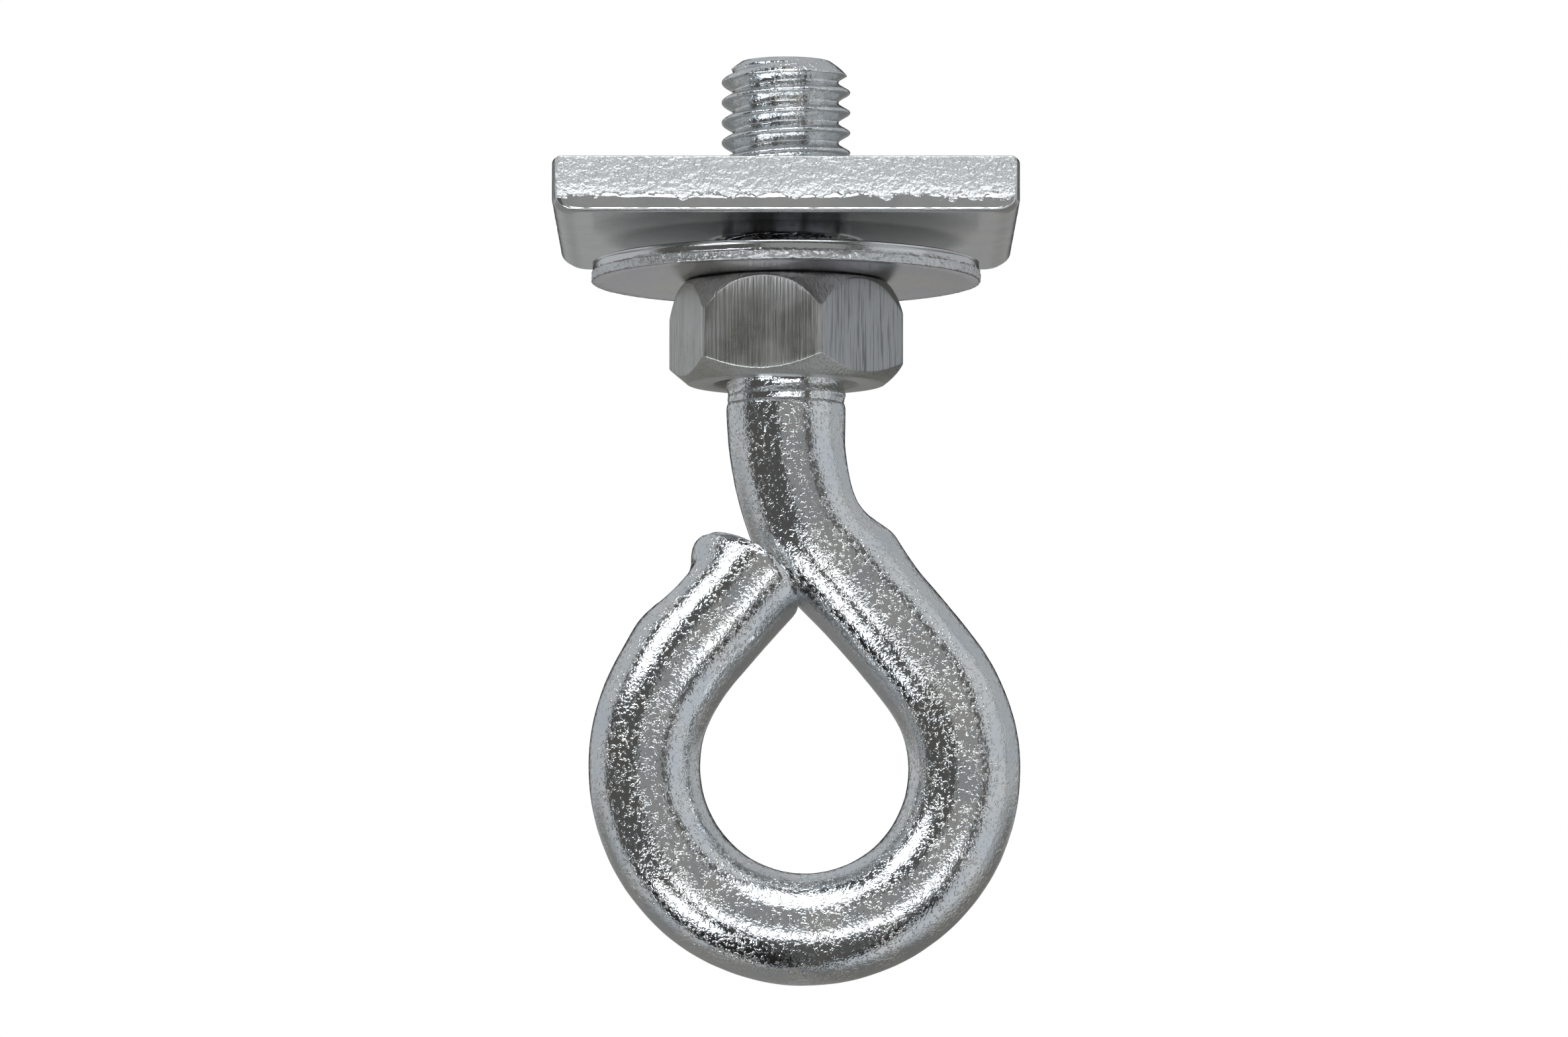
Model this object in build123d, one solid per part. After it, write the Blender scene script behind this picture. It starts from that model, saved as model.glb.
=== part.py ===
from build123d import *
import math
import os

# Rail eye bolt: a closed steel eye on a threaded shank, carried by a square plate that slides in a
# rail, with a wide washer and a nut that clamp the rail's lips from below.
# Frame: origin on the bolt's axis at the plate's underside, +Z up the thread, the eye in the XZ plane.
# All sizes are in millimetres.

# thread of the bolt and the nut, M8 coarse
PITCH = 1.25
MAJOR_RADIUS = 3.97
PITCH_RADIUS = 3.594
ROOT_RADIUS = 3.22
FLANK_TANGENT = math.tan(math.radians(30))
NUT_BORE_RADIUS = 4.03

# bolt, from the top end down to the start of the neck's bend
BOLT_TOP = 11.1
END_CHAMFER_HEIGHT = 1.2
END_FLAT_RADIUS = 2.8
FULL_THREAD_END = -9.0
THREAD_FADE_END = -9.9
GROOVE_START = -7.5 * PITCH
THREAD_TURN = -133.0
GROOVE_OUTER_RADIUS = 4.1
SHOULDER_HEIGHT = -10.1
SHOULDER_STEP = 0.07
SHANK_RADIUS = 3.65

# rod below the shank: radius and angle in degrees of each tangent bend, and the straight leg between
NECK_BEND_START = -10.3
NECK_BEND = (19.0, 22.0)
KNEE_BEND = (5.6, 20.0)
LEG_LENGTH = 4.6
SHOULDER_BEND = (66.0, -4.7)
RING_BEND = (9.75, -188.0)
SIDE_BEND = (10.2, -55.5)
END_BEND = (14.2, -15.0)
END_LEG_LENGTH = 5.2
RING_ROD_RADIUS = 3.45
END_CUT_ANGLE = 34.0
END_CUT_SLANT = 22.5
END_CUT_ALLOWANCE = 4.0
CUT_BLOCK = 14.0

# square plate that slides in the rail
PLATE_WIDTH = 28.2
PLATE_DEPTH = 28.8
PLATE_THICKNESS = 3.45
PLATE_BORE_RADIUS = 4.07
PLATE_BORE_CHAMFER = 0.4
PLATE_LOWER_SIDE_ROUND = 1.1
PLATE_CORNER_ROUND = 0.35

# how far a cutting tool runs past the piece it cuts
TOOL_OVERRUN = 1.0

# washer
RAIL_GAP = 1.3
WASHER_OUTER_RADIUS = 12.0
WASHER_HOLE_RADIUS = 4.2
WASHER_THICKNESS = 1.25
WASHER_TOP_ROUND = 0.3

# hexagon nut
NUT_ACROSS_FLATS = 12.9
NUT_HEIGHT = 6.3
NUT_TURN = 17.0
NUT_CORNER_RADIUS = 7.35
NUT_TOP_CHAMFER_RADIUS = 6.1
NUT_TOP_CHAMFER_DEPTH = 2.2
NUT_BOTTOM_CHAMFER_RADIUS = 6.05
NUT_BOTTOM_CHAMFER_DEPTH = 1.1
NUT_ENTRY_RADIUS = 4.45
NUT_ENTRY_DEPTH = 0.45

WASHER_TOP = -RAIL_GAP
NUT_TOP = WASHER_TOP - WASHER_THICKNESS
NUT_BOTTOM = NUT_TOP - NUT_HEIGHT


def turned(points):
    """A solid of revolution about the bolt's axis from (radius, height) points."""
    outline = Polyline(*[(radius, 0, height) for radius, height in points], close=True)
    return revolve(make_face(outline), Axis.Z, 360)


def groove_half_width(radius):
    """Half the height of the thread's groove at a radius."""
    return PITCH / 4 + (radius - PITCH_RADIUS) * FLANK_TANGENT


def thread_groove():
    """The V-shaped groove of the thread, swept along its helix to past the bolt's end."""
    inner = groove_half_width(ROOT_RADIUS)
    outer = groove_half_width(GROOVE_OUTER_RADIUS)
    section = Polyline(
        (ROOT_RADIUS, 0, GROOVE_START - inner),
        (GROOVE_OUTER_RADIUS, 0, GROOVE_START - outer),
        (GROOVE_OUTER_RADIUS, 0, GROOVE_START + outer),
        (ROOT_RADIUS, 0, GROOVE_START + inner),
        close=True,
    )
    helix = Pos(0, 0, GROOVE_START) * Helix(PITCH, BOLT_TOP + PITCH - GROOVE_START, PITCH_RADIUS)
    return sweep(make_face(section), path=helix, is_frenet=True)


def threaded_shank():
    """The straight part of the bolt: plain shank, run-out, rolled thread and rounded end."""
    bar = turned([
        (0, NECK_BEND_START),
        (SHANK_RADIUS, NECK_BEND_START),
        (SHANK_RADIUS, SHOULDER_HEIGHT),
        (SHANK_RADIUS - SHOULDER_STEP, THREAD_FADE_END),
        (MAJOR_RADIUS, FULL_THREAD_END),
        (MAJOR_RADIUS, BOLT_TOP - END_CHAMFER_HEIGHT),
        (END_FLAT_RADIUS, BOLT_TOP),
        (0, BOLT_TOP),
    ])
    return Rot(0, 0, THREAD_TURN) * (bar - thread_groove())


class RodPath:
    """A point that walks down the rod's centreline; its heading is measured from straight down to +X."""

    def __init__(self, x, z, heading):
        self.x = x
        self.z = z
        self.heading = heading

    def direction(self):
        angle = math.radians(self.heading)
        return math.sin(angle), -math.cos(angle)

    def disc(self, radius):
        dx, dz = self.direction()
        plane = Plane(origin=(self.x, 0, self.z), x_dir=(0, 1, 0), z_dir=(dx, 0, dz))
        return plane * Circle(radius)

    def straight(self, length, start_radius, end_radius):
        first = self.disc(start_radius)
        dx, dz = self.direction()
        self.x += dx * length
        self.z += dz * length
        if start_radius == end_radius:
            return extrude(first, length, dir=(dx, 0, dz))
        return loft([first, self.disc(end_radius)])

    def bend(self, bend_radius, angle, rod_radius):
        first = self.disc(rod_radius)
        side = math.copysign(1, angle)
        across = math.radians(self.heading + 90 * side)
        centre_x = self.x + bend_radius * math.sin(across)
        centre_z = self.z - bend_radius * math.cos(across)
        axis = Axis((centre_x, 0, centre_z), (0, -side, 0))
        piece = revolve(first, axis, abs(angle))
        self.heading += angle
        back = math.radians(self.heading - 90 * side)
        self.x = centre_x + bend_radius * math.sin(back)
        self.z = centre_z - bend_radius * math.cos(back)
        return piece


def bent_rod():
    """The neck, the leg and the eye, ending in a sheared end that rests beside the neck."""
    path = RodPath(0, NECK_BEND_START, 0)
    pieces = [
        path.bend(*NECK_BEND, SHANK_RADIUS),
        path.bend(*KNEE_BEND, SHANK_RADIUS),
        path.straight(LEG_LENGTH, SHANK_RADIUS, RING_ROD_RADIUS),
        path.bend(*SHOULDER_BEND, RING_ROD_RADIUS),
        path.bend(*RING_BEND, RING_ROD_RADIUS),
        path.bend(*SIDE_BEND, RING_ROD_RADIUS),
        path.bend(*END_BEND, RING_ROD_RADIUS),
    ]
    dx, dz = path.direction()
    tip_x = path.x + dx * END_LEG_LENGTH
    tip_z = path.z + dz * END_LEG_LENGTH
    end_leg = path.straight(END_LEG_LENGTH + END_CUT_ALLOWANCE, RING_ROD_RADIUS, RING_ROD_RADIUS)
    cut = math.radians(END_CUT_ANGLE)
    slant = math.radians(END_CUT_SLANT)
    cut_normal = (math.sin(cut) * math.cos(slant), math.sin(slant), math.cos(cut) * math.cos(slant))
    cut_plane = Plane(origin=(tip_x, 0, tip_z), z_dir=cut_normal)
    end_leg -= cut_plane * Box(CUT_BLOCK, CUT_BLOCK, CUT_BLOCK, align=(Align.CENTER, Align.CENTER, Align.MIN))
    rod = pieces[0]
    for piece in pieces[1:] + [end_leg]:
        rod += piece
    return rod


def eye_bolt():
    return threaded_shank() + bent_rod()


def rail_plate():
    """The sliding plate, sheared from flat bar with rounded edges, with a bore for the bolt."""
    plate = Pos(0, 0, PLATE_THICKNESS / 2) * Box(PLATE_WIDTH, PLATE_DEPTH, PLATE_THICKNESS)
    plate = fillet(plate.edges().filter_by(Axis.Z), PLATE_CORNER_ROUND)
    along_y = plate.edges().filter_by(Axis.Y)
    lower = along_y.group_by(Axis.Z)[0]
    plate = fillet(lower, PLATE_LOWER_SIDE_ROUND)
    bore = turned([
        (0, -TOOL_OVERRUN),
        (PLATE_BORE_RADIUS + PLATE_BORE_CHAMFER + TOOL_OVERRUN, -TOOL_OVERRUN),
        (PLATE_BORE_RADIUS, PLATE_BORE_CHAMFER),
        (PLATE_BORE_RADIUS, PLATE_THICKNESS - PLATE_BORE_CHAMFER),
        (PLATE_BORE_RADIUS + PLATE_BORE_CHAMFER + TOOL_OVERRUN, PLATE_THICKNESS + TOOL_OVERRUN),
        (0, PLATE_THICKNESS + TOOL_OVERRUN),
    ])
    return plate - bore


def flat_washer():
    """The wide washer, punched so that its upper rim is rounded and its lower rim is sharp."""
    bottom = WASHER_TOP - WASHER_THICKNESS
    body = turned([
        (WASHER_HOLE_RADIUS, bottom),
        (WASHER_OUTER_RADIUS, bottom),
        (WASHER_OUTER_RADIUS, WASHER_TOP),
        (WASHER_HOLE_RADIUS, WASHER_TOP),
    ])
    rims = body.edges().filter_by(GeomType.CIRCLE).group_by(Axis.Z)[-1]
    return fillet(rims, WASHER_TOP_ROUND)


def hex_nut():
    """The nut: a hexagon trimmed by a cone at each end, with a bore over the thread and two entry cones."""
    hexagon = RegularPolygon(NUT_ACROSS_FLATS / 2, 6, major_radius=False, rotation=30)
    prism = Pos(0, 0, NUT_BOTTOM) * extrude(hexagon, NUT_HEIGHT)
    envelope = turned([
        (0, NUT_BOTTOM),
        (NUT_BOTTOM_CHAMFER_RADIUS, NUT_BOTTOM),
        (NUT_CORNER_RADIUS, NUT_BOTTOM + NUT_BOTTOM_CHAMFER_DEPTH),
        (NUT_CORNER_RADIUS, NUT_TOP - NUT_TOP_CHAMFER_DEPTH),
        (NUT_TOP_CHAMFER_RADIUS, NUT_TOP),
        (0, NUT_TOP),
    ])
    body = Rot(0, 0, NUT_TURN) * prism & envelope
    bore = turned([
        (0, NUT_BOTTOM - TOOL_OVERRUN),
        (NUT_ENTRY_RADIUS, NUT_BOTTOM - TOOL_OVERRUN),
        (NUT_ENTRY_RADIUS, NUT_BOTTOM),
        (NUT_BORE_RADIUS, NUT_BOTTOM + NUT_ENTRY_DEPTH),
        (NUT_BORE_RADIUS, NUT_TOP - NUT_ENTRY_DEPTH),
        (NUT_ENTRY_RADIUS, NUT_TOP),
        (NUT_ENTRY_RADIUS, NUT_TOP + TOOL_OVERRUN),
        (0, NUT_TOP + TOOL_OVERRUN),
    ])
    return body - bore


os.makedirs("parts", exist_ok=True)
export_step(eye_bolt(), "parts/eye_bolt.step")
export_step(rail_plate(), "parts/rail_plate.step")
export_step(flat_washer(), "parts/flat_washer.step")
export_step(hex_nut(), "parts/hex_nut.step")
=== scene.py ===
"""Looks of the rail eye bolt: bright zinc-plated eye bolt, sliding plate, washer and nut.

Lengths are in millimetres up to make_mesh, which turns them into metres. The frame is the CAD frame:
the bolt's axis is Z, the plate's underside is at z = 0 and the eye lies in the XZ plane.
"""
import math

import bpy
import numpy as np
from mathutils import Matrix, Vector, noise


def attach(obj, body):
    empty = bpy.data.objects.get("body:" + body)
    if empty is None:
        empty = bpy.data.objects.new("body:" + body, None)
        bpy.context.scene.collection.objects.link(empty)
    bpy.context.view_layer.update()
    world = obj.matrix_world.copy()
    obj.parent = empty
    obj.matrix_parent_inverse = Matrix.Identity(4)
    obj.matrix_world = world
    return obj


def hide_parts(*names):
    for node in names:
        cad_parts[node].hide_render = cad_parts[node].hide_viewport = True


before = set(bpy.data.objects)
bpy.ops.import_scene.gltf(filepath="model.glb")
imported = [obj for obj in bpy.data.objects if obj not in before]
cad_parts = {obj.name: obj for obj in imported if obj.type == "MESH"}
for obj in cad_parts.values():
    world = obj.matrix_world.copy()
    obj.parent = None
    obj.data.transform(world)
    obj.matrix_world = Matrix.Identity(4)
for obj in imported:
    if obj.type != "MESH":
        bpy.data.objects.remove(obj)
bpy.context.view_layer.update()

MM = 0.001
TURN = 2 * math.pi

# thread and end of the bolt, close to the CAD bolt's
PITCH = 1.25
MAJOR_RADIUS = 3.97
PITCH_RADIUS = 3.594
THREAD_HALF_DEPTH = 0.376
THREAD_PHASE = 0.37
FLANK_HALF_HEIGHT = 0.2165
CREST_SHARPNESS = 5
BOLT_TOP = 11.1
END_ROUND_START = 9.75
END_ROUND_POWER = 1.7
END_FLAT_RADIUS = 2.75
END_DISH = 0.06
END_FACE_DROP = 0.01
END_FACE_SHARES = (0.15, 0.4, 0.65, 0.85, 0.95)

# run-out: the thread thins to a faint line, ends, and the shank swells below a small shoulder
THREAD_THINS_FROM = -8.3
THREAD_THINS_OVER = 0.6
FAINT_THREAD_HALF_DEPTH = 0.055
THREAD_END = -9.85
THREAD_ENDS_OVER = 0.3
ROOT_AT_RUN_OUT = 3.55
PLAIN_RUN_OUT_RADIUS = 3.58
SHOULDER_TOP = -9.95
SHOULDER_ROUND = 0.55
SHOULDER_DEPTH = 0.15
SHOULDER_STEP = (-10.03, -9.91)
SHANK_RADIUS = 3.65

# rod path, close to the CAD bolt's but with a longer end leg: (bend radius, angle in degrees)
NECK_START = -10.5
NECK_BEND = (18.5, 22.0)
KNEE_BEND = (5.6, 20.0)
LEG_LENGTH = 4.6
SHOULDER_BEND = (66.0, -4.7)
RING_BEND = (9.75, -188.0)
SIDE_BEND = (10.2, -55.5)
END_BEND = (14.2, -15.0)
END_LEG_LENGTH = 5.6
RING_ROD_RADIUS = 3.45
THINNING_BEFORE_LEG = 2.0

# sheared end of the rod
END_CUT_SLOPE = 0.06
END_CUT_SLANT = 0.42
END_EDGE_ROUND = 0.2
END_EDGE_LENGTH = 0.5
END_CUT_BULGE = 0.16
END_CUT_SHARES = (0.97, 0.9, 0.75, 0.55, 0.35, 0.15)

# marks of the bending tools on the rod: (distance along the rod, height above the round rod)
NECK_PRESS_MARK = [(1.0, 0), (3.6, -0.19), (5.3, -0.3), (6.6, -0.34), (7.6, -0.26), (9.5, -0.1),
                   (10.4, 0.19), (11.1, 0.36), (12.1, 0.2), (14.0, 0)]
END_PRESS_MARK = [(-2.2, 0), (-0.9, 0.14), (0.0, 0), (0.9, -0.22), (1.8, -0.34), (3.0, -0.32),
                  (3.8, -0.05), (4.5, 0.6), (5.1, 0.72), (6.0, 0.5)]

MARK_BLUR = 0.4
END_MARK_REACH = 5.0
FLAT_SHARPNESS = 40.0
FLAT_FULL_DEPTH = 0.12
SWELL_SPREAD = 0.62
ROD_UNEVENNESS = 0.03
ROD_FINE_UNEVENNESS = 0.012
ROD_EVEN_ABOVE = -12.0

ROD_COLUMNS = 144
THREAD_ROW = 0.07
ROD_ROW = 0.2

# plate
PLATE_HALF_WIDTH = 14.1
PLATE_HALF_DEPTH = 14.4
PLATE_THICKNESS = 3.45
PLATE_BORE_RADIUS = 4.07
PLATE_BORE_CHAMFER = 0.4
PLATE_CORNER_ROUND = 0.35
PLATE_SIDE_ROUND_WIDTH = 1.4
PLATE_SIDE_ROUND_HEIGHT = 0.95
PLATE_TOP_ROUND = 0.35
PLATE_SHEAR_ROUND_WIDTH = 0.22
PLATE_SHEAR_ROUND_HEIGHT = 0.2
PLATE_SHEAR_TOP_ROUND = 0.12
PLATE_ROWS = 60
OUTLINE_STEPS = 150
FACE_SHARES = (0.02, 0.06, 0.13, 0.25, 0.4, 0.55, 0.7, 0.85, 0.95, 1.0)
BORE_SHARES = (0.0, 0.04, 0.5, 0.96, 1.0)

# sheared ends of the plate: a burnished band below, a set-back fracture above, a beaded lower edge
BURNISH_HEIGHT = 0.9
BURNISH_WAVES = 0.16
BURNISH_RAGGEDNESS = 0.07
SHEAR_SET_BACK = 0.08
FRACTURE_DEPTH = 0.24
FRACTURE_CURVE = 0.5
FRACTURE_LEAN = 0.04
FRACTURE_GRAIN = 0.07
FRACTURE_START = 0.12
BEAD_HEIGHT = 0.15
BEAD_HALF_WIDTH = 0.12
BEAD_RELIEF = 0.075
SHEAR_DRAW_IN = 0.25
SHEAR_DRAW_LENGTH = 1.6
PLATE_UNEVENNESS = 0.02

# washer
WASHER_TOP = -1.3
WASHER_BOTTOM = -2.55
WASHER_OUTER_RADIUS = 12.0
WASHER_HOLE_RADIUS = 4.2
WASHER_HOLE_EDGE = 0.1
WASHER_TOP_HOLE_EDGE = (0.12, 0.15)
WASHER_TOP_ROUND = 0.36
WASHER_LOWER_EDGE = 0.05
WASHER_RIM_ROWS = 12
WASHER_COLUMNS = 720
WASHER_RIM_BAND = 0.12
WASHER_SMOOTH_RIM_HEIGHT = 0.62
WASHER_SMOOTH_RIM_SET_BACK = 0.13
WASHER_RIM_WAVES = 0.1
WASHER_RIM_GRAIN = 0.15

# nut
NUT_TOP = -2.56
NUT_BOTTOM = -8.85
NUT_ACROSS_FLATS = 12.9
NUT_TURN = 17.0
NUT_CORNER_RADIUS = 7.35
NUT_TOP_CONE = (6.1, 2.1)
NUT_CROWN = 1.6
NUT_BOTTOM_CONE = (6.05, 1.1)
NUT_ENTRY_RADIUS = 4.45
NUT_ENTRY_DEPTH = 0.45
NUT_BORE_RADIUS = 4.03
NUT_EDGE = 0.07
NUT_SHARPNESS = 64
NUT_FLAT_COLUMNS = 40
NUT_FLAT_ROWS = 22
NUT_COLUMN_CROWDING = 1.7
NUT_TOP_RADII = (4.9, 5.5)
NUT_BOTTOM_RADIUS = 5.4
NUT_EDGE_WEAR = 0.012
NUT_WEAR = 0.016
NUT_WEAR_FROM = (5.8, 6.2)

# camera: place in millimetres, tilt up in degrees
CAMERA_PLACE = (-0.12, -600.0, -75.62)
CAMERA_TILT = 5.57
CAMERA_LENS = 225.9
CAMERA_SENSOR = 36

# floor, in metres
FLOOR_SIZE = 6.0
FLOOR_LEVEL = -0.16
FLOOR_STEPS = 8


# ---------------------------------------------------------------- mesh helpers

def smooth_step(low, high, value):
    """0 below low, 1 above high, and a smooth rise between them."""
    t = np.clip((np.asarray(value, dtype=float) - low) / (high - low), 0, 1)
    return t * t * (3 - 2 * t)


def lumps(points, size, seed, octaves=1):
    """Smooth unevenness between about -1 and 1 at each point, with lumps of the given size."""
    flat = np.asarray(points, dtype=float).reshape(-1, 3)
    shift = Vector((seed * 7.3, seed * 3.1, seed * 5.7))
    values = [noise.fractal(Vector(p) / size + shift, 1.0, 2.0, octaves) for p in flat.tolist()]
    return np.array(values).reshape(np.asarray(points).shape[:-1])


def level_ring(radius, height, angles):
    """A ring of points round Z; radius and height are one number or a value for each angle."""
    radius = np.broadcast_to(radius, angles.shape)
    height = np.broadcast_to(height, angles.shape)
    return np.stack([radius * np.cos(angles), radius * np.sin(angles), height], axis=1)


def make_mesh(name, rings, close_profile=False, caps=False):
    """A piece from rings of points: the last ring joins the first, or each end closes in a point."""
    rings = np.asarray(rings, dtype=float)
    count, columns = rings.shape[:2]
    vertices = (rings.reshape(-1, 3) * MM).tolist()
    faces = []
    for i in range(count if close_profile else count - 1):
        below = (i + 1) % count
        for j in range(columns):
            k = (j + 1) % columns
            faces.append((i * columns + j, below * columns + j, below * columns + k, i * columns + k))
    if caps:
        first, last = len(vertices), len(vertices) + 1
        vertices.append((rings[0].mean(axis=0) * MM).tolist())
        vertices.append((rings[-1].mean(axis=0) * MM).tolist())
        base = (count - 1) * columns
        for j in range(columns):
            k = (j + 1) % columns
            faces.append((first, j, k))
            faces.append((last, base + k, base + j))
    mesh = bpy.data.meshes.new(name)
    mesh.from_pydata(vertices, [], faces)
    mesh.polygons.foreach_set("use_smooth", [True] * len(faces))
    mesh.update()
    piece = bpy.data.objects.new(name, mesh)
    bpy.context.scene.collection.objects.link(piece)
    return piece


# ---------------------------------------------------------------- eye bolt

def thread_radius(height, angle):
    """Radius of the bolt at a height and an angle: a rolled thread that thins out above the shoulder."""
    turns = height / PITCH - angle / TURN - THREAD_PHASE
    from_crest = np.abs(turns - np.round(turns)) * PITCH
    flank = (PITCH / 4 - from_crest) / FLANK_HALF_HEIGHT
    rounded = flank / (1 + np.abs(flank) ** CREST_SHARPNESS) ** (1 / CREST_SHARPNESS)
    full = PITCH_RADIUS + THREAD_HALF_DEPTH * rounded
    end = np.clip((height - END_ROUND_START) / (BOLT_TOP - END_ROUND_START), 0, 1)
    dome = MAJOR_RADIUS - (MAJOR_RADIUS - END_FLAT_RADIUS) * end ** END_ROUND_POWER
    radius = np.minimum(full, dome)
    thin = 1 - smooth_step(THREAD_THINS_FROM - THREAD_THINS_OVER, THREAD_THINS_FROM, height)
    faint = ROOT_AT_RUN_OUT + FAINT_THREAD_HALF_DEPTH * (1 + rounded)
    radius = radius * (1 - thin) + faint * thin
    plain = 1 - smooth_step(THREAD_END, THREAD_END + THREAD_ENDS_OVER, height)
    radius = radius * (1 - plain) + PLAIN_RUN_OUT_RADIUS * plain
    below = np.clip((SHOULDER_TOP - height) / SHOULDER_ROUND, 0, 1)
    shank = SHANK_RADIUS - SHOULDER_DEPTH * (1 - below) ** 3
    shoulder = 1 - smooth_step(*SHOULDER_STEP, height)
    return radius * (1 - shoulder) + shank * shoulder


def threaded_rings(angles):
    """The bolt's end face and the straight threaded part, from the top down."""
    face = BOLT_TOP - END_FACE_DROP
    rings = [level_ring(share * END_FLAT_RADIUS, face - END_DISH * (1 - share), angles)
             for share in END_FACE_SHARES]
    length = BOLT_TOP - NECK_START
    rows = int(length / THREAD_ROW)
    for row in range(rows):
        height = face - END_FACE_DROP - length * row / rows
        rings.append(level_ring(thread_radius(height, angles), height, angles))
    return rings


def rod_stations():
    """Points along the rod's centreline as (x, z, heading, distance, radius)."""
    x, z, heading, distance = 0.0, NECK_START, 0.0, 0.0
    parts = [NECK_BEND, KNEE_BEND, (None, LEG_LENGTH), SHOULDER_BEND, RING_BEND, SIDE_BEND, END_BEND,
             (None, END_LEG_LENGTH)]
    stations = []
    leg_start = math.radians(NECK_BEND[1]) * NECK_BEND[0] + math.radians(KNEE_BEND[1]) * KNEE_BEND[0]
    for bend_radius, amount in parts:
        length = amount if bend_radius is None else bend_radius * abs(math.radians(amount))
        steps = max(2, round(length / ROD_ROW))
        turn = 0 if bend_radius is None else math.radians(amount)
        for step in range(steps):
            share = float(smooth_step(leg_start - THINNING_BEFORE_LEG, leg_start + LEG_LENGTH, distance))
            radius = SHANK_RADIUS + (RING_ROD_RADIUS - SHANK_RADIUS) * share
            stations.append((x, z, heading, distance, radius))
            middle = heading + turn / steps / 2
            x += math.sin(middle) * length / steps
            z -= math.cos(middle) * length / steps
            heading += turn / steps
            distance += length / steps
    stations.append((x, z, heading, distance, RING_ROD_RADIUS))
    return stations


def pressed(radius, height, off_side):
    """Radius of a rod pressed flat (height below 0) or swollen (above 0) on one side."""
    if height < 0:
        flat = (radius + height) / np.maximum(np.cos(off_side), 0.05)
        softened = (radius ** -FLAT_SHARPNESS + flat ** -FLAT_SHARPNESS) ** (-1 / FLAT_SHARPNESS)
        share = smooth_step(0, FLAT_FULL_DEPTH, -height)
        return radius * (1 - share) + softened * share
    return radius + height * np.exp(-(off_side / SWELL_SPREAD) ** 2)


def press_mark(distance, end_leg_start):
    """Height of the bending tools' marks at a distance along the rod, blurred a little."""
    nearby = distance + np.linspace(-MARK_BLUR, MARK_BLUR, 9)
    if distance < end_leg_start - END_MARK_REACH:
        return np.interp(nearby, *zip(*NECK_PRESS_MARK)).mean()
    return np.interp(nearby - end_leg_start, *zip(*END_PRESS_MARK)).mean()


def rod_rings(angles):
    """The neck, leg and eye, down to the sheared end face."""
    stations = rod_stations()
    total = stations[-1][3]
    end_leg_start = total - END_LEG_LENGTH
    off_side = np.angle(np.exp(1j * angles))
    rings = []
    for x, z, heading, distance, base in stations[1:]:
        radius = pressed(np.full_like(angles, base), press_mark(distance, end_leg_start), off_side)
        radius = radius - smooth_step(total - END_EDGE_LENGTH, total, distance) * END_EDGE_ROUND
        centre = np.array([x, 0, z])
        side = np.array([math.cos(heading), 0, math.sin(heading)])
        along = np.array([math.sin(heading), 0, -math.cos(heading)])
        sideways = radius * np.cos(angles)
        backward = radius * np.sin(angles)
        lean = smooth_step(end_leg_start, total, distance)
        shift = (-END_CUT_SLOPE * sideways - END_CUT_SLANT * backward) * lean
        rings.append(centre + sideways[:, None] * side + backward[:, None] * np.array([0, 1, 0])
                     + shift[:, None] * along)
    last = rings[-1]
    middle = last.mean(axis=0)
    for share in END_CUT_SHARES:
        rings.append(middle + (last - middle) * share + along * END_CUT_BULGE * (1 - share))
    return rings


def make_eye_bolt():
    """The whole bent rod in one skin: end face, thread, neck, eye and cut end."""
    angles = np.arange(ROD_COLUMNS) * TURN / ROD_COLUMNS
    upper = np.array(threaded_rings(angles))
    lower = np.array(rod_rings(angles))
    outward = lower - lower.mean(axis=1, keepdims=True)
    outward /= np.linalg.norm(outward, axis=2, keepdims=True)
    uneven = (ROD_UNEVENNESS * lumps(lower, size=3.0, seed=1)
              + ROD_FINE_UNEVENNESS * lumps(lower, size=0.9, seed=2))
    share = 1 - smooth_step(ROD_EVEN_ABOVE, NECK_START, lower[:, :, 2])
    lower += outward * ((uneven - ROD_UNEVENNESS) * share)[:, :, None]
    return make_mesh("zinc_eye_bolt", np.concatenate([upper, lower]), caps=True)


# ---------------------------------------------------------------- plate

def plate_outline():
    """Points round the plate's outline, a rectangle with small round corners."""
    spread = np.linspace(-1, 1, OUTLINE_STEPS)
    points = []
    for quarter in range(4):
        turn = quarter * math.pi / 2
        across = np.array([math.cos(turn), math.sin(turn)])
        forward = np.array([-math.sin(turn), math.cos(turn)])
        reach = PLATE_HALF_WIDTH if quarter % 2 == 0 else PLATE_HALF_DEPTH
        half = (PLATE_HALF_DEPTH if quarter % 2 == 0 else PLATE_HALF_WIDTH) - PLATE_CORNER_ROUND
        points += [across * reach + forward * half * s for s in spread]
        corner = across * (reach - PLATE_CORNER_ROUND) + forward * half
        for step in (1, 2, 3):
            bend = step * math.pi / 8
            points.append(corner + PLATE_CORNER_ROUND * (across * math.cos(bend) + forward * math.sin(bend)))
    return np.array(points)


def round_inset(height, low_width, low_height, top_round):
    """How far a side stands back at a height, with elliptic rounds at its lower and upper edges."""
    low = max(0.0, 1 - height / low_height)
    top = max(0.0, 1 - (PLATE_THICKNESS - height) / top_round)
    return low_width * (1 - math.sqrt(max(0.0, 1 - low * low))) + \
        top_round * (1 - math.sqrt(max(0.0, 1 - top * top)))


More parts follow.
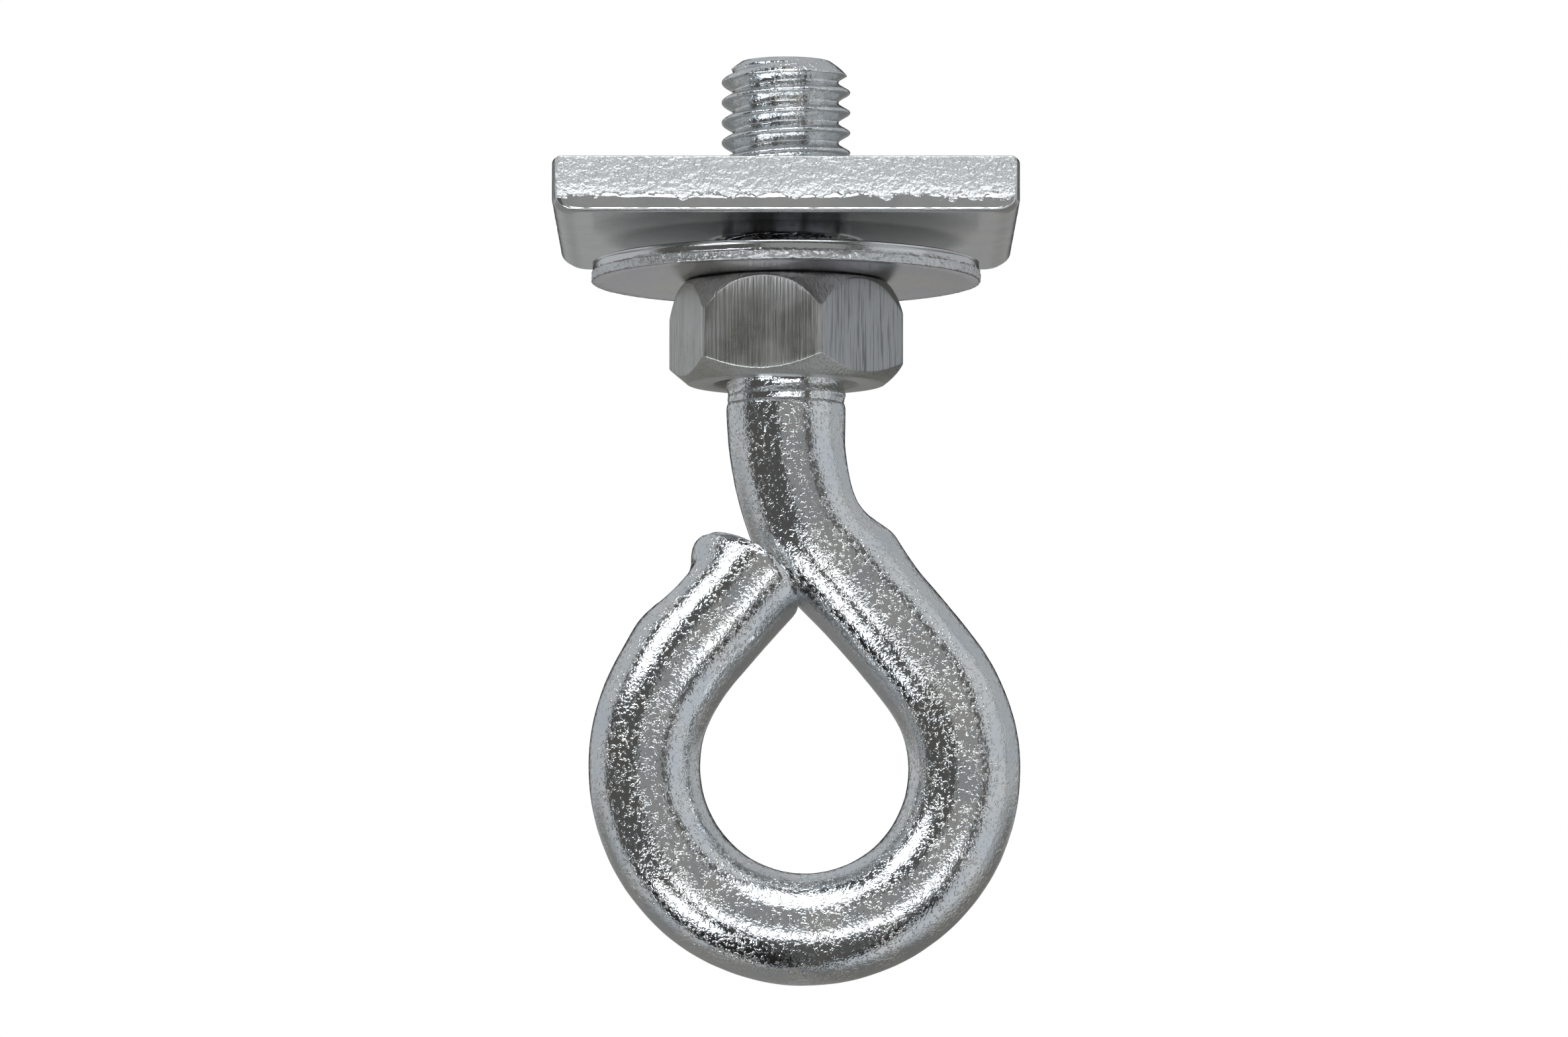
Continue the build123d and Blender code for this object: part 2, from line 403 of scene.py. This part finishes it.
def plate_side(outline):
    """The plate's side as rings from the underside up, with a wide round under the drawn sides."""
    rings = []
    for height in PLATE_THICKNESS * smooth_step(0, 1, np.linspace(0, 1, PLATE_ROWS)):
        inset_x = round_inset(height, PLATE_SIDE_ROUND_WIDTH, PLATE_SIDE_ROUND_HEIGHT, PLATE_TOP_ROUND)
        inset_y = round_inset(height, PLATE_SHEAR_ROUND_WIDTH, PLATE_SHEAR_ROUND_HEIGHT,
                              PLATE_SHEAR_TOP_ROUND)
        x = outline[:, 0] * (PLATE_HALF_WIDTH - inset_x) / PLATE_HALF_WIDTH
        y = outline[:, 1] * (PLATE_HALF_DEPTH - inset_y) / PLATE_HALF_DEPTH
        rings.append(np.stack([x, y, np.full(len(outline), height)], axis=1))
    return np.array(rings)


def shear_set_back(side):
    """How far the sheared ends stand back: burnished band, coarse fracture and beaded edge."""
    height = side[:, :, 2]
    past_round = np.clip((np.abs(side[:, :, 0]) - PLATE_HALF_WIDTH + PLATE_SIDE_ROUND_WIDTH)
                         / PLATE_SIDE_ROUND_WIDTH, 0, 1)
    above_edge = height - PLATE_SIDE_ROUND_HEIGHT * (1 - np.sqrt(1 - past_round ** 2))
    line = side * [1, 1, 0]
    wave = (BURNISH_HEIGHT + BURNISH_WAVES * lumps(line, size=5.0, seed=3)
            + BURNISH_RAGGEDNESS * lumps(line, size=0.9, seed=4))
    above_wave = np.maximum(height - wave, 0)
    hollow = FRACTURE_DEPTH * (1 - np.exp(-above_wave / FRACTURE_CURVE)) + FRACTURE_LEAN * above_wave
    fine_grain = lumps(side, size=0.32, seed=5, octaves=3)
    grain = 0.6 * fine_grain + 0.4 * lumps(side * [1, 1, 0.6], size=1.6, seed=6)
    broken = smooth_step(0, FRACTURE_START, above_wave)
    bead = np.maximum(0, 1 - np.abs(above_edge - BEAD_HEIGHT) / BEAD_HALF_WIDTH)
    bead = BEAD_RELIEF * bead * (0.8 + 0.5 * lumps(side, size=0.4, seed=7))
    return np.maximum(SHEAR_SET_BACK + hollow + broken * FRACTURE_GRAIN * grain - bead, 0)


def shape_side(side, outline):
    """Sets the sheared ends back, and draws the other two sides in towards those ends."""
    past_corner = (np.abs(outline[:, 1]) - PLATE_HALF_DEPTH + PLATE_CORNER_ROUND) / PLATE_CORNER_ROUND
    facing = np.sign(outline[:, 1]) * np.clip(past_corner, 0, 1)
    side[:, :, 1] -= facing * shear_set_back(side)
    uneven = PLATE_UNEVENNESS * (1 + lumps(side, size=2.2, seed=8))
    near_end = 1 - smooth_step(0.0, SHEAR_DRAW_LENGTH, PLATE_HALF_DEPTH - np.abs(side[:, :, 1]))
    side[:, :, 0] -= np.sign(outline[:, 0]) * np.abs(side[:, :, 0]) / PLATE_HALF_WIDTH * \
        (SHEAR_DRAW_IN * near_end + np.maximum(uneven, 0))


def face_rings(edge, circle, height):
    """A flat face from its outer edge in to the chamfer of the bore."""
    rim = circle * (PLATE_BORE_RADIUS + PLATE_BORE_CHAMFER)
    rings = []
    for share in FACE_SHARES:
        flat = edge[:, :2] * (1 - share) + rim * share
        rings.append(np.column_stack([flat, np.full(len(circle), height)]))
    return rings


def make_rail_plate():
    """The plate: underside, side, top and bore, as one closed profile swept round its outline."""
    outline = plate_outline()
    angle = np.arctan2(outline[:, 1], outline[:, 0])
    circle = np.stack([np.cos(angle), np.sin(angle)], axis=1)
    side = plate_side(outline)
    shape_side(side, outline)
    bore = []
    for share in BORE_SHARES:
        height = PLATE_THICKNESS - PLATE_BORE_CHAMFER - share * (PLATE_THICKNESS - 2 * PLATE_BORE_CHAMFER)
        bore.append(np.column_stack([circle * PLATE_BORE_RADIUS, np.full(len(circle), height)]))
    under = face_rings(side[0], circle, 0.0)
    top = face_rings(side[-1], circle, PLATE_THICKNESS)
    rings = np.concatenate([under[::-1], side, top, bore])
    return make_mesh("zinc_rail_plate", rings[::-1], close_profile=True)


# ---------------------------------------------------------------- washer

def arc(centre_radius, centre_height, radius, start, end, steps):
    """Points (radius, height) of an arc in a profile; angles in degrees from outward to up."""
    points = []
    for i in range(steps + 1):
        angle = math.radians(start + (end - start) * i / steps)
        points.append((centre_radius + radius * math.cos(angle), centre_height + radius * math.sin(angle)))
    return points


def washer_profile():
    """Half a section through the washer: a round upper edge and a nearly sharp lower one."""
    edge_in, edge_down = WASHER_TOP_HOLE_EDGE
    profile = [(WASHER_HOLE_RADIUS + edge_in, WASHER_TOP)]
    profile += [(radius, WASHER_TOP) for radius in (6.0, 9.0, 11.2)]
    rim_top = WASHER_TOP - WASHER_TOP_ROUND
    profile += arc(WASHER_OUTER_RADIUS - WASHER_TOP_ROUND, rim_top, WASHER_TOP_ROUND, 90, 8, 8)
    rim_height = WASHER_BOTTOM + WASHER_LOWER_EDGE - rim_top
    profile += [(WASHER_OUTER_RADIUS, rim_top + rim_height * row / WASHER_RIM_ROWS)
                for row in range(1, WASHER_RIM_ROWS + 1)]
    profile += [(WASHER_OUTER_RADIUS - 0.06, WASHER_BOTTOM),
                (WASHER_OUTER_RADIUS - 0.2, WASHER_BOTTOM + 0.015)]
    profile += [(radius, WASHER_BOTTOM) for radius in (11.0, 9.0, 6.5, 5.0)]
    profile += [(WASHER_HOLE_RADIUS + WASHER_HOLE_EDGE, WASHER_BOTTOM),
                (WASHER_HOLE_RADIUS, WASHER_BOTTOM + WASHER_HOLE_EDGE),
                (WASHER_HOLE_RADIUS, WASHER_TOP - edge_down)]
    return profile


def make_washer():
    """The washer, with a smooth upper rim and a grainy broken band below it."""
    angles = np.arange(WASHER_COLUMNS) * TURN / WASHER_COLUMNS
    rings = np.array([level_ring(radius, height, angles) for radius, height in washer_profile()])
    outward = rings * [1, 1, 0]
    radius = np.linalg.norm(outward, axis=2, keepdims=True)
    outward = outward / radius
    on_rim = radius[:, :, 0] > WASHER_OUTER_RADIUS - WASHER_RIM_BAND
    waves = WASHER_RIM_WAVES * lumps(rings * [1, 1, 0], size=3.0, seed=11)
    wave = WASHER_TOP - WASHER_SMOOTH_RIM_HEIGHT + waves
    broken = (1 - smooth_step(-0.1, 0.12, rings[:, :, 2] - wave)) * on_rim
    grain = 0.5 + 0.5 * lumps(rings, size=0.26, seed=12, octaves=2)
    set_back = (1 - broken) * on_rim * WASHER_SMOOTH_RIM_SET_BACK + broken * WASHER_RIM_GRAIN * grain
    rings -= outward * set_back[:, :, None]
    return make_mesh("zinc_flat_washer", rings, close_profile=True)


# ---------------------------------------------------------------- nut

def nut_angles():
    """Angles round the nut, closer together towards its corners."""
    angles = []
    for flat in range(6):
        for column in range(NUT_FLAT_COLUMNS):
            t = -1 + 2 * column / NUT_FLAT_COLUMNS
            bent = math.copysign(1 - (1 - abs(t)) ** NUT_COLUMN_CROWDING, t)
            angles.append(math.radians(NUT_TURN + 60 * flat + 30 * bent))
    return np.array(angles)


def hexagon_radius(angles):
    """Radius of the nut's hexagon, its corners turned down to a circle."""
    total = sum(np.maximum(np.cos(angles - math.radians(NUT_TURN + 60 * flat)), 0) ** NUT_SHARPNESS
                for flat in range(6))
    return np.minimum(NUT_ACROSS_FLATS / 2 / total ** (1 / NUT_SHARPNESS), NUT_CORNER_RADIUS)


def nut_profile(hexagon):
    """Sections through the nut as (radius, height), from the upper bore edge out, down and back in."""
    top_radius, top_depth = NUT_TOP_CONE
    bottom_radius, bottom_depth = NUT_BOTTOM_CONE
    top_share = (hexagon - top_radius) / (NUT_CORNER_RADIUS - top_radius)
    top_edge = NUT_TOP - top_depth * top_share ** NUT_CROWN
    bottom_edge = NUT_BOTTOM + bottom_depth * (hexagon - bottom_radius) / (NUT_CORNER_RADIUS - bottom_radius)
    profile = [(radius, NUT_TOP) for radius in (NUT_ENTRY_RADIUS, *NUT_TOP_RADII, top_radius - NUT_EDGE)]
    profile.append((top_radius + NUT_EDGE * 0.5, NUT_TOP - NUT_EDGE * 0.8))
    for share in (0.2, 0.4, 0.6, 0.8, 0.92):
        profile.append((top_radius + (hexagon - top_radius) * share,
                        NUT_TOP + (top_edge - NUT_TOP) * share ** NUT_CROWN))
    profile += [(hexagon - NUT_EDGE * 0.45, top_edge + NUT_EDGE * 0.75), (hexagon - NUT_EDGE_WEAR, top_edge),
                (hexagon, top_edge - NUT_EDGE)]
    profile += [(hexagon, top_edge + (bottom_edge - top_edge) * share)
                for share in np.linspace(0.08, 0.92, NUT_FLAT_ROWS)]
    profile += [(hexagon, bottom_edge + NUT_EDGE), (hexagon - NUT_EDGE_WEAR, bottom_edge),
                (hexagon - NUT_EDGE * 0.7, bottom_edge - NUT_EDGE * 0.5)]
    for share in (0.7, 0.4):
        profile.append((bottom_radius + (hexagon - bottom_radius) * share,
                        NUT_BOTTOM + (bottom_edge - NUT_BOTTOM) * share))
    profile += [(bottom_radius + NUT_EDGE * 0.6, NUT_BOTTOM + NUT_EDGE * 0.6),
                (bottom_radius - NUT_EDGE, NUT_BOTTOM), (NUT_BOTTOM_RADIUS, NUT_BOTTOM),
                (NUT_ENTRY_RADIUS + 0.05, NUT_BOTTOM), (NUT_ENTRY_RADIUS - 0.03, NUT_BOTTOM + 0.05),
                (NUT_BORE_RADIUS, NUT_BOTTOM + NUT_ENTRY_DEPTH), (NUT_BORE_RADIUS, NUT_TOP - NUT_ENTRY_DEPTH)]
    return profile


def make_nut():
    """The nut, chamfered at both ends, with slight wear on its flats."""
    angles = nut_angles()
    profile = nut_profile(hexagon_radius(angles))
    rings = np.array([level_ring(radius, height, angles) for radius, height in profile])
    radius = np.linalg.norm(rings * [1, 1, 0], axis=2)
    uneven = 1 + lumps(rings * [1, 1, 0.35], size=1.1, seed=21)
    wear = smooth_step(*NUT_WEAR_FROM, radius) * NUT_WEAR * uneven
    rings -= (rings * [1, 1, 0]) / radius[:, :, None] * wear[:, :, None]
    return make_mesh("zinc_hex_nut", rings, close_profile=True)


# ---------------------------------------------------------------- node helpers

def node(tree, kind, inputs=None, **settings):
    """A new node; inputs are values or the output sockets they are linked from."""
    made = tree.nodes.new(kind)
    for key, value in settings.items():
        setattr(made, key, value)
    for key, value in (inputs or {}).items():
        if isinstance(value, bpy.types.NodeSocket):
            tree.links.new(value, made.inputs[key])
        else:
            made.inputs[key].default_value = value
    return made


def calculate(tree, operation, *values):
    """The result of a math node."""
    inputs = {i: value for i, value in enumerate(values)}
    return node(tree, "ShaderNodeMath", inputs, operation=operation).outputs[0]


def grade(tree, value, low, high, to_low=0.0, to_high=1.0):
    """A smooth change from to_low to to_high as the value goes from low to high."""
    inputs = {"Value": value, "From Min": low, "From Max": high, "To Min": to_low, "To Max": to_high}
    return node(tree, "ShaderNodeMapRange", inputs, interpolation_type="SMOOTHSTEP").outputs["Result"]


def facing_parts(tree):
    """X, Y and Z of the direction that the surface faces, in the world's frame and not the piece's."""
    geometry = node(tree, "ShaderNodeNewGeometry")
    return node(tree, "ShaderNodeSeparateXYZ", {0: geometry.outputs["Normal"]}).outputs


def height_on_piece(tree):
    """Height in the object's own frame, in metres."""
    spot = node(tree, "ShaderNodeTexCoord").outputs["Object"]
    return node(tree, "ShaderNodeSeparateXYZ", {0: spot}).outputs["Z"]


def speckle(tree, size, detail=2.0, stretch=(1, 1, 1)):
    """Noise in the object's own millimetres, with grains of the given size."""
    spot = node(tree, "ShaderNodeTexCoord").outputs["Object"]
    scale = [1 / (MM * size * part) for part in stretch]
    scaled = node(tree, "ShaderNodeVectorMath", {0: spot, 1: scale}, operation="MULTIPLY").outputs[0]
    inputs = {"Vector": scaled, "Scale": 1.0, "Detail": detail, "Roughness": 0.55}
    return node(tree, "ShaderNodeTexNoise", inputs).outputs["Fac"]


def blend_colour(tree, share, first, second):
    """A colour that goes from the first to the second as the share goes from 0 to 1."""
    inputs = {0: share, 6: first, 7: second}
    return node(tree, "ShaderNodeMix", inputs, data_type="RGBA").outputs[2]


def bumped(tree, height, distance, strength=1.0, normal=None):
    """A surface normal with fine relief, its depth in millimetres, on top of another one."""
    inputs = {"Height": height, "Distance": distance * MM, "Strength": strength}
    if normal is not None:
        inputs["Normal"] = normal
    return node(tree, "ShaderNodeBump", inputs).outputs["Normal"]


def new_material(name):
    """A metallic material with its node tree and its shader."""
    material = bpy.data.materials.new(name)
    material.use_nodes = True
    tree = material.node_tree
    tree.nodes.clear()
    shader = node(tree, "ShaderNodeBsdfPrincipled", {"Metallic": 1.0})
    output = node(tree, "ShaderNodeOutputMaterial")
    tree.links.new(shader.outputs[0], output.inputs[0])
    return material, tree, shader


def finish_zinc(tree, shader, colour, roughness, normal):
    """Links a zinc material's colour, roughness and relief to its shader."""
    tree.links.new(colour, shader.inputs["Base Color"])
    tree.links.new(roughness, shader.inputs["Roughness"])
    tree.links.new(normal, shader.inputs["Normal"])


# ---------------------------------------------------------------- materials

def bolt_material():
    """Bright zinc on a bent rod: a smooth skin with scattered pimples and bluish and warm patches."""
    material, tree, shader = new_material("bright_zinc_rod")
    patches = speckle(tree, 2.4, 3)
    fine = speckle(tree, 0.15, 1)
    pebble = speckle(tree, 0.3, 2)
    scratch = speckle(tree, 0.35, 2, (1, 0.3, 3.0))
    colour = blend_colour(tree, grade(tree, patches, 0.35, 0.68), (0.70, 0.73, 0.755, 1),
                          (0.79, 0.79, 0.775, 1))
    dark = calculate(tree, "MULTIPLY", grade(tree, fine, 0.6, 0.72), 0.4)
    colour = blend_colour(tree, dark, colour, (0.40, 0.41, 0.39, 1))
    roughness = calculate(tree, "ADD", grade(tree, pebble, 0.3, 0.7, 0.08, 0.17),
                          grade(tree, scratch, 0.58, 0.75, 0.0, 0.14))
    pimples = grade(tree, pebble, 0.5, 0.66)
    relief = calculate(tree, "MULTIPLY", pimples, grade(tree, patches, 0.35, 0.65, 0.35, 1.0))
    normal = bumped(tree, relief, 0.022, 1.0)
    normal = bumped(tree, fine, 0.013, 1.0, normal)
    finish_zinc(tree, shader, colour, roughness, normal)
    return material


def plate_material():
    """Zinc over flat bar: satin faces, bright grains where sheared, a rough top darkened with painted shade,
    and a painted shadow of the washer on the underside.
    """
    material, tree, shader = new_material("zinc_sheared_bar")
    facing = facing_parts(tree)
    upper = grade(tree, facing["Z"], 0.6, 0.9)
    under = grade(tree, facing["Z"], -0.6, -0.9)
    end_face = grade(tree, calculate(tree, "ABSOLUTE", facing["Y"]), 0.55, 0.8)
    raggedness = grade(tree, speckle(tree, 1.3, 3), 0.2, 0.8, -0.4 * MM, 0.4 * MM)
    ragged = calculate(tree, "ADD", height_on_piece(tree), raggedness)
    broken = calculate(tree, "MULTIPLY", end_face, grade(tree, ragged, 0.85 * MM, 1.2 * MM))
    # painted shadow of the washer: the underside is darkened in a ring 9.8 to 11.6 mm from the bolt's axis
    spot = node(tree, "ShaderNodeTexCoord").outputs["Object"]
    level = node(tree, "ShaderNodeVectorMath", {0: spot, 1: (1, 1, 0)}, operation="MULTIPLY").outputs[0]
    from_axis = node(tree, "ShaderNodeVectorMath", {0: level}, operation="LENGTH").outputs["Value"]
    painted_washer_shadow = calculate(tree, "MULTIPLY", under, grade(tree, from_axis, 11.6 * MM, 9.8 * MM))
    patches = speckle(tree, 4.0, 2)
    fine = speckle(tree, 0.14, 2)
    coarse = speckle(tree, 0.24, 3)
    colour = blend_colour(tree, grade(tree, patches, 0.3, 0.7), (0.68, 0.70, 0.71, 1),
                          (0.78, 0.78, 0.765, 1))
    colour = blend_colour(tree, broken, colour, (0.69, 0.695, 0.69, 1))
    # the washer's painted shadow on the underside
    colour = blend_colour(tree, painted_washer_shadow, colour, (0.09, 0.095, 0.10, 1))
    # painted shade: the upper face is darker, to tone down the reflection of the upper-left soft box
    painted_top_shade_colour = blend_colour(tree, coarse, (0.40, 0.405, 0.40, 1), (0.50, 0.505, 0.51, 1))
    colour = blend_colour(tree, upper, colour, painted_top_shade_colour)
    satin = grade(tree, fine, 0.3, 0.7, 0.14, 0.22)
    rougher = calculate(tree, "MULTIPLY_ADD", broken, 0.22, calculate(tree, "MULTIPLY", upper, 0.38))
    roughness = calculate(tree, "ADD", satin, rougher)
    grain = calculate(tree, "MULTIPLY", coarse, grade(tree, broken, 0, 1, 0.06, 1.0))
    normal = bumped(tree, grain, 0.12, 0.9)
    normal = bumped(tree, fine, 0.008, 0.7, normal)
    finish_zinc(tree, shader, colour, roughness, normal)
    return material


def washer_material():
    """Zinc over punched sheet: smooth faces with a faint purple and straw tint, and a grainy rim."""
    material, tree, shader = new_material("zinc_punched_sheet")
    fine = speckle(tree, 0.13, 2)
    coarse = speckle(tree, 0.24, 3)
    tint = speckle(tree, 6.0, 1)
    rim = grade(tree, calculate(tree, "ABSOLUTE", facing_parts(tree)["Z"]), 0.55, 0.35)
    low_rim = calculate(tree, "MULTIPLY", rim, grade(tree, height_on_piece(tree), -1.9 * MM, -2.05 * MM))
    colour = blend_colour(tree, grade(tree, tint, 0.35, 0.65), (0.56, 0.535, 0.58, 1),
                          (0.59, 0.58, 0.545, 1))
    colour = blend_colour(tree, rim, colour, (0.74, 0.745, 0.745, 1))
    roughness = calculate(tree, "ADD", grade(tree, fine, 0.3, 0.7, 0.15, 0.24),
                          calculate(tree, "MULTIPLY", low_rim, 0.15))
    normal = bumped(tree, calculate(tree, "MULTIPLY", coarse, low_rim), 0.09, 0.9)
    normal = bumped(tree, fine, 0.007, 0.7, normal)
    finish_zinc(tree, shader, colour, roughness, normal)
    return material


def nut_material():
    """Zinc over drawn hexagon bar: a slight olive cast and upright draw marks.

    They are strongest where a flat faces the world's +X, so they don't turn with the nut.
    """
    material, tree, shader = new_material("zinc_drawn_hexagon")
    drawn = speckle(tree, 0.15, 3, (1, 1, 30))
    fine = speckle(tree, 0.12, 2)
    patches = speckle(tree, 2.6, 3)
    colour = blend_colour(tree, grade(tree, patches, 0.35, 0.65), (0.575, 0.58, 0.545, 1),
                          (0.64, 0.64, 0.62, 1))
    # flats facing the world's +X are darker, and their draw marks stronger
    darker_toward_plus_x = grade(tree, facing_parts(tree)["X"], 0.5, 0.7)
    colour = blend_colour(tree, calculate(tree, "MULTIPLY", darker_toward_plus_x, 0.6), colour, (0.33, 0.34, 0.36, 1))
    marked = calculate(tree, "MULTIPLY", grade(tree, drawn, 0.5, 0.66), grade(tree, darker_toward_plus_x, 0, 1, 0.3, 0.75))
    colour = blend_colour(tree, marked, colour, (0.16, 0.16, 0.17, 1))
    roughness = grade(tree, patches, 0.3, 0.7, 0.26, 0.38)
    normal = bumped(tree, drawn, 0.045, 0.9)
    normal = bumped(tree, fine, 0.008, 0.8, normal)
    finish_zinc(tree, shader, colour, roughness, normal)
    return material


def floor_material():
    """A matt pale floor that glows faintly, so that it stays as pale as the backdrop."""
    material, tree, shader = new_material("pale_floor")
    mottle = speckle(tree, 40.0, 2)
    shader.inputs["Metallic"].default_value = 0.0
    shader.inputs["Roughness"].default_value = 0.8
    shader.inputs["Emission Strength"].default_value = 0.6
    shader.inputs["Emission Color"].default_value = (1, 1, 1, 1)
    colour = blend_colour(tree, mottle, (0.93, 0.93, 0.93, 1), (0.95, 0.95, 0.95, 1))
    tree.links.new(colour, shader.inputs["Base Color"])
    return material


# ---------------------------------------------------------------- studio

# soft boxes and dark walls: azimuth range, elevation range (degrees), softness, added light
# azimuth 0 is the side of the camera (-Y) and grows towards +X
STUDIO = [
    ((-178, -87), (-90, 90), 3, -0.1),
    ((-87, -14), (-90, 90), 4, -0.55),
    ((-14, 36), (-90, 90), 5, -0.34),
    ((36, 51), (-90, 90), 3, -0.52),
    ((95, 99), (-60, 60), 2, -0.35),
    ((99, 178), (-90, 90), 8, -0.16),
    ((-34, 34), (44, 70), 5, 4.4),
    ((-64, -40), (26, 46), 4, 6.5),
    ((-58, -30), (-46, -30), 4, 6.0),
    ((-22, 28), (-23, -11), 3, 3.2),
    ((-90, 60), (-86, -30), 5, -0.2),
]
STUDIO_BASE = 0.64
DARKEST_LIGHT = 0.02

# the far side, behind the object: dimmer below the horizon, and a dark wall just above it
FAR_LOW_DIM = 0.3
FAR_LOW_AZIMUTH = (95.0, 130.0)
FAR_LOW_ELEVATION = (2.0, -8.0)
FAR_WALL_DIM = 0.6
FAR_WALL_AZIMUTH = (146.0, 162.0)
FAR_WALL_ELEVATION = (1.0, 24.0)
FAR_WALL_SOFTNESS = 2.5


def within(tree, value, low, high, soft):
    """1 between low and high and 0 outside, with soft edges."""
    rise = grade(tree, value, low - soft, low + soft)
    fall = grade(tree, value, high - soft, high + soft, 1.0, 0.0)
    return calculate(tree, "MULTIPLY", rise, fall)


def studio_light(tree):
    """Strength of the light from each direction: a pale room with soft boxes and dark walls."""
    direction = node(tree, "ShaderNodeTexCoord").outputs["Generated"]
    parts = node(tree, "ShaderNodeSeparateXYZ", {0: direction})
    toward = calculate(tree, "MULTIPLY", parts.outputs["Y"], -1.0)
    azimuth = calculate(tree, "DEGREES", calculate(tree, "ARCTAN2", parts.outputs["X"], toward))
    elevation = calculate(tree, "DEGREES", calculate(tree, "ARCSINE", parts.outputs["Z"]))
    behind = grade(tree, calculate(tree, "ABSOLUTE", azimuth), *FAR_LOW_AZIMUTH)
    low = grade(tree, elevation, *FAR_LOW_ELEVATION)
    dim = calculate(tree, "MULTIPLY", calculate(tree, "MULTIPLY", behind, low), FAR_LOW_DIM)
    far = grade(tree, calculate(tree, "ABSOLUTE", azimuth), *FAR_WALL_AZIMUTH)
    level = within(tree, elevation, *FAR_WALL_ELEVATION, FAR_WALL_SOFTNESS)
    wall = calculate(tree, "MULTIPLY", calculate(tree, "MULTIPLY", far, level), FAR_WALL_DIM)
    light = calculate(tree, "SUBTRACT", STUDIO_BASE, calculate(tree, "ADD", dim, wall))
    for (left, right), (bottom, top), soft, amount in STUDIO:
        share = within(tree, azimuth, left, right, soft)
        if bottom > -90:
            share = calculate(tree, "MULTIPLY", share, within(tree, elevation, bottom, top, soft))
        light = calculate(tree, "MULTIPLY_ADD", share, amount, light)
    return calculate(tree, "MAXIMUM", light, DARKEST_LIGHT)


def studio_world():
    """Lights the metal from the studio, and shows the camera a plain white backdrop."""
    world = bpy.data.worlds.new("studio")
    bpy.context.scene.world = world
    world.use_nodes = True
    tree = world.node_tree
    tree.nodes.clear()
    light = studio_light(tree)
    tint = blend_colour(tree, grade(tree, light, 0.1, 0.55), (1.03, 1.0, 0.95, 1), (0.95, 0.99, 1.03, 1))
    reflected = node(tree, "ShaderNodeBackground", {"Color": tint, "Strength": light})
    backdrop = node(tree, "ShaderNodeBackground", {"Color": (1, 1, 1, 1), "Strength": 1.0})
    seen = node(tree, "ShaderNodeLightPath").outputs["Is Camera Ray"]
    mixed = node(tree, "ShaderNodeMixShader", {0: seen, 1: reflected.outputs[0], 2: backdrop.outputs[0]})
    output = node(tree, "ShaderNodeOutputWorld")
    tree.links.new(mixed.outputs[0], output.inputs[0])


def make_floor():
    """A pale floor well below the hanging eye, seen but not mirrored in the metal."""
    marks = [FLOOR_SIZE * (step / FLOOR_STEPS - 0.5) for step in range(FLOOR_STEPS + 1)]
    vertices = [(x, y, FLOOR_LEVEL) for y in marks for x in marks]
    across = len(marks)
    starts = [row * across + column for row in range(FLOOR_STEPS) for column in range(FLOOR_STEPS)]
    faces = [(start, start + 1, start + across + 1, start + across) for start in starts]
    mesh = bpy.data.meshes.new("floor")
    mesh.from_pydata(vertices, [], faces)
    floor = bpy.data.objects.new("floor", mesh)
    bpy.context.scene.collection.objects.link(floor)
    mesh.materials.append(floor_material())
    floor.visible_glossy = False
    floor.visible_diffuse = False
    floor.visible_shadow = False


def make_camera():
    """A distant camera with a long lens, a little below the plate and looking up."""
    data = bpy.data.cameras.new("camera")
    data.sensor_width = CAMERA_SENSOR
    data.lens = CAMERA_LENS
    data.clip_start = 0.01
    camera = bpy.data.objects.new("camera", data)
    bpy.context.scene.collection.objects.link(camera)
    camera.location = [MM * value for value in CAMERA_PLACE]
    camera.rotation_euler = (math.radians(90 + CAMERA_TILT), 0, 0)
    bpy.context.scene.camera = camera


# ---------------------------------------------------------------- assembly

def place(piece, node_name, body, material):
    """Gives a piece its material, and puts it on its CAD body in place of the CAD node."""
    piece.data.materials.append(material)
    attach(piece, body)
    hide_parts(node_name)


make_camera()
studio_world()
make_floor()
place(make_eye_bolt(), "eye_bolt", "bolt", bolt_material())
place(make_rail_plate(), "rail_plate", "plate", plate_material())
place(make_washer(), "flat_washer", "washer", washer_material())
place(make_nut(), "hex_nut", "nut", nut_material())
bpy.context.scene.view_settings.view_transform = "Standard"
